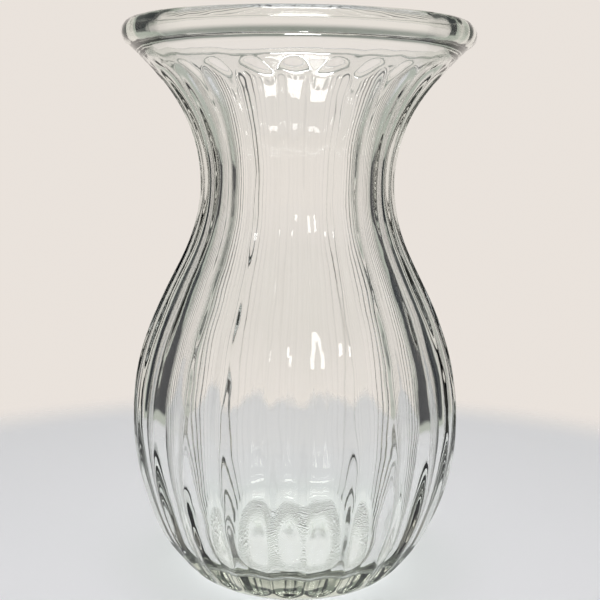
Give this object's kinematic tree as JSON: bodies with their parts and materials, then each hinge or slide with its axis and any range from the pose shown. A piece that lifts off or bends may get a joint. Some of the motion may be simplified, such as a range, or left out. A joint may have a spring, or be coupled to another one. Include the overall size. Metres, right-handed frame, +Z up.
{
  "type": "fan vase",
  "caption": "Clear glass fan vase with a round fluted belly, a narrow neck, a flared plain collar and a rolled lip.",
  "frame": {"origin": "centre of the foot, on the surface that the vase stands on", "axes": "+Z up along the vase's axis, from the foot to the mouth"},
  "size_m": [0.1244, 0.1244, 0.2],
  "materials": {
    "clear_glass": "fire-polished clear soda-lime glass, stippled on its standing ring"
  },
  "bodies": {
    "root": {"vase_body": "clear_glass"}
  },
  "joints": []
}
